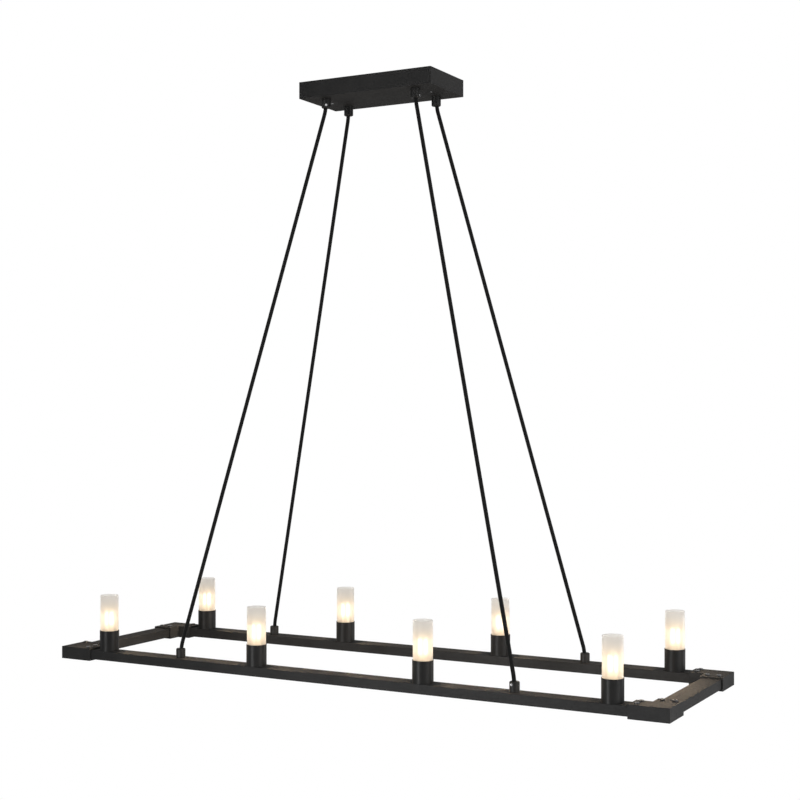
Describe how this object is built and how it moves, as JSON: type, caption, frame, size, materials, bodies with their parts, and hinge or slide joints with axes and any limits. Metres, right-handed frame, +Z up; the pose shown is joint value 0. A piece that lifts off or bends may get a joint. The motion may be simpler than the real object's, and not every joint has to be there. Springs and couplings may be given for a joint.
{
  "type": "linear island pendant",
  "caption": "Long rectangular black frame hung flat on slanted cords from a small ceiling canopy, with upright frosted glass cylinder lamps in black cups along both long sides.",
  "frame": {"origin": "on the ceiling plane, at the centre of the bracket's two screw slots", "axes": "+X along the long rails, +Z up towards the ceiling, -Y is the front side, which the picture shows nearer"},
  "size_m": [1.2, 0.35, 1.07],
  "materials": {
    "black_coat": "fine-textured matte powder coat",
    "black_hardware": "satin black",
    "zinc_steel": "bright zinc plate",
    "cord_fabric": "braided textile, matte",
    "lead_rubber": "smooth, matte",
    "terminal_plastic": "moulded",
    "holder_ceramic": "unglazed ceramic",
    "frosted_glass": "acid-etched",
    "lamp_body": "translucent diffuser"
  },
  "bodies": {
    "ceiling_unit": {"canopy_shell": "black_coat", "mounting_bracket": "zinc_steel", "bracket_posts": "zinc_steel", "canopy_screws": "black_hardware", "terminal_block": "terminal_plastic", "canopy_leads": "lead_rubber", "upper_cord_grips": "black_coat", "upper_grip_nuts": "zinc_steel", "upper_grub_screws": "zinc_steel"},
    "suspension": {"cord_front_left": "cord_fabric", "cord_front_right": "cord_fabric", "cord_back_left": "cord_fabric", "cord_back_right": "cord_fabric"},
    "light_frame": {"lower_cord_grips": "black_coat", "lower_grip_nuts": "zinc_steel", "lower_grub_screws": "zinc_steel", "corner_screws": "black_hardware", "corner_nut_bars": "zinc_steel", "lamp_holders_front": "holder_ceramic", "lamp_holders_back": "holder_ceramic", "lamp_nipples": "zinc_steel", "nipple_nuts": "zinc_steel", "rail_wiring_front": "lead_rubber", "rail_wiring_back": "lead_rubber", "front_long_rail": "black_coat", "back_long_rail": "black_coat", "left_short_rail": "black_coat", "right_short_rail": "black_coat", "corner_connector_front_left": "black_coat", "corner_connector_front_right": "black_coat", "corner_connector_back_right": "black_coat", "corner_connector_back_left": "black_coat", "lamp_cup_front_1": "black_coat", "lamp_cup_front_2": "black_coat", "lamp_cup_front_3": "black_coat", "lamp_cup_front_4": "black_coat", "lamp_cup_back_1": "black_coat", "lamp_cup_back_2": "black_coat", "lamp_cup_back_3": "black_coat", "lamp_cup_back_4": "black_coat"},
    "shade_front_1": {"glass_shade_front_1": "frosted_glass"},
    "lamp_front_1": {"led_lamp_front_1": "lamp_body"},
    "shade_front_2": {"glass_shade_front_2": "frosted_glass"},
    "lamp_front_2": {"led_lamp_front_2": "lamp_body"},
    "shade_front_3": {"glass_shade_front_3": "frosted_glass"},
    "lamp_front_3": {"led_lamp_front_3": "lamp_body"},
    "shade_front_4": {"glass_shade_front_4": "frosted_glass"},
    "lamp_front_4": {"led_lamp_front_4": "lamp_body"},
    "shade_back_1": {"glass_shade_back_1": "frosted_glass"},
    "lamp_back_1": {"led_lamp_back_1": "lamp_body"},
    "shade_back_2": {"glass_shade_back_2": "frosted_glass"},
    "lamp_back_2": {"led_lamp_back_2": "lamp_body"},
    "shade_back_3": {"glass_shade_back_3": "frosted_glass"},
    "lamp_back_3": {"led_lamp_back_3": "lamp_body"},
    "shade_back_4": {"glass_shade_back_4": "frosted_glass"},
    "lamp_back_4": {"led_lamp_back_4": "lamp_body"}
  },
  "joints": [
    {"name": "sway", "type": "hinge", "parent": "ceiling_unit", "child": "suspension", "pos_m": [0, 0, -0.047], "axis": [1, 0, 0], "range_deg": [-4, 4]},
    {"name": "height_adjust", "type": "slide", "parent": "suspension", "child": "light_frame", "axis": [0, 0, 1], "range_m": [0, 0.6], "deforming": ["cord_front_left", "cord_front_right", "cord_back_left", "cord_back_right"]},
    {"name": "shade_lift_front_1", "type": "slide", "parent": "light_frame", "child": "shade_front_1", "axis": [0, 0, 1], "range_m": [0, 0.08]},
    {"name": "lamp_pull_front_1", "type": "slide", "parent": "light_frame", "child": "lamp_front_1", "axis": [0, 0, 1], "range_m": [0, 0.1]},
    {"name": "shade_lift_front_2", "type": "slide", "parent": "light_frame", "child": "shade_front_2", "axis": [0, 0, 1], "range_m": [0, 0.08]},
    {"name": "lamp_pull_front_2", "type": "slide", "parent": "light_frame", "child": "lamp_front_2", "axis": [0, 0, 1], "range_m": [0, 0.1]},
    {"name": "shade_lift_front_3", "type": "slide", "parent": "light_frame", "child": "shade_front_3", "axis": [0, 0, 1], "range_m": [0, 0.08]},
    {"name": "lamp_pull_front_3", "type": "slide", "parent": "light_frame", "child": "lamp_front_3", "axis": [0, 0, 1], "range_m": [0, 0.1]},
    {"name": "shade_lift_front_4", "type": "slide", "parent": "light_frame", "child": "shade_front_4", "axis": [0, 0, 1], "range_m": [0, 0.08]},
    {"name": "lamp_pull_front_4", "type": "slide", "parent": "light_frame", "child": "lamp_front_4", "axis": [0, 0, 1], "range_m": [0, 0.1]},
    {"name": "shade_lift_back_1", "type": "slide", "parent": "light_frame", "child": "shade_back_1", "axis": [0, 0, 1], "range_m": [0, 0.08]},
    {"name": "lamp_pull_back_1", "type": "slide", "parent": "light_frame", "child": "lamp_back_1", "axis": [0, 0, 1], "range_m": [0, 0.1]},
    {"name": "shade_lift_back_2", "type": "slide", "parent": "light_frame", "child": "shade_back_2", "axis": [0, 0, 1], "range_m": [0, 0.08]},
    {"name": "lamp_pull_back_2", "type": "slide", "parent": "light_frame", "child": "lamp_back_2", "axis": [0, 0, 1], "range_m": [0, 0.1]},
    {"name": "shade_lift_back_3", "type": "slide", "parent": "light_frame", "child": "shade_back_3", "axis": [0, 0, 1], "range_m": [0, 0.08]},
    {"name": "lamp_pull_back_3", "type": "slide", "parent": "light_frame", "child": "lamp_back_3", "axis": [0, 0, 1], "range_m": [0, 0.1]},
    {"name": "shade_lift_back_4", "type": "slide", "parent": "light_frame", "child": "shade_back_4", "axis": [0, 0, 1], "range_m": [0, 0.08]},
    {"name": "lamp_pull_back_4", "type": "slide", "parent": "light_frame", "child": "lamp_back_4", "axis": [0, 0, 1], "range_m": [0, 0.1]}
  ]
}
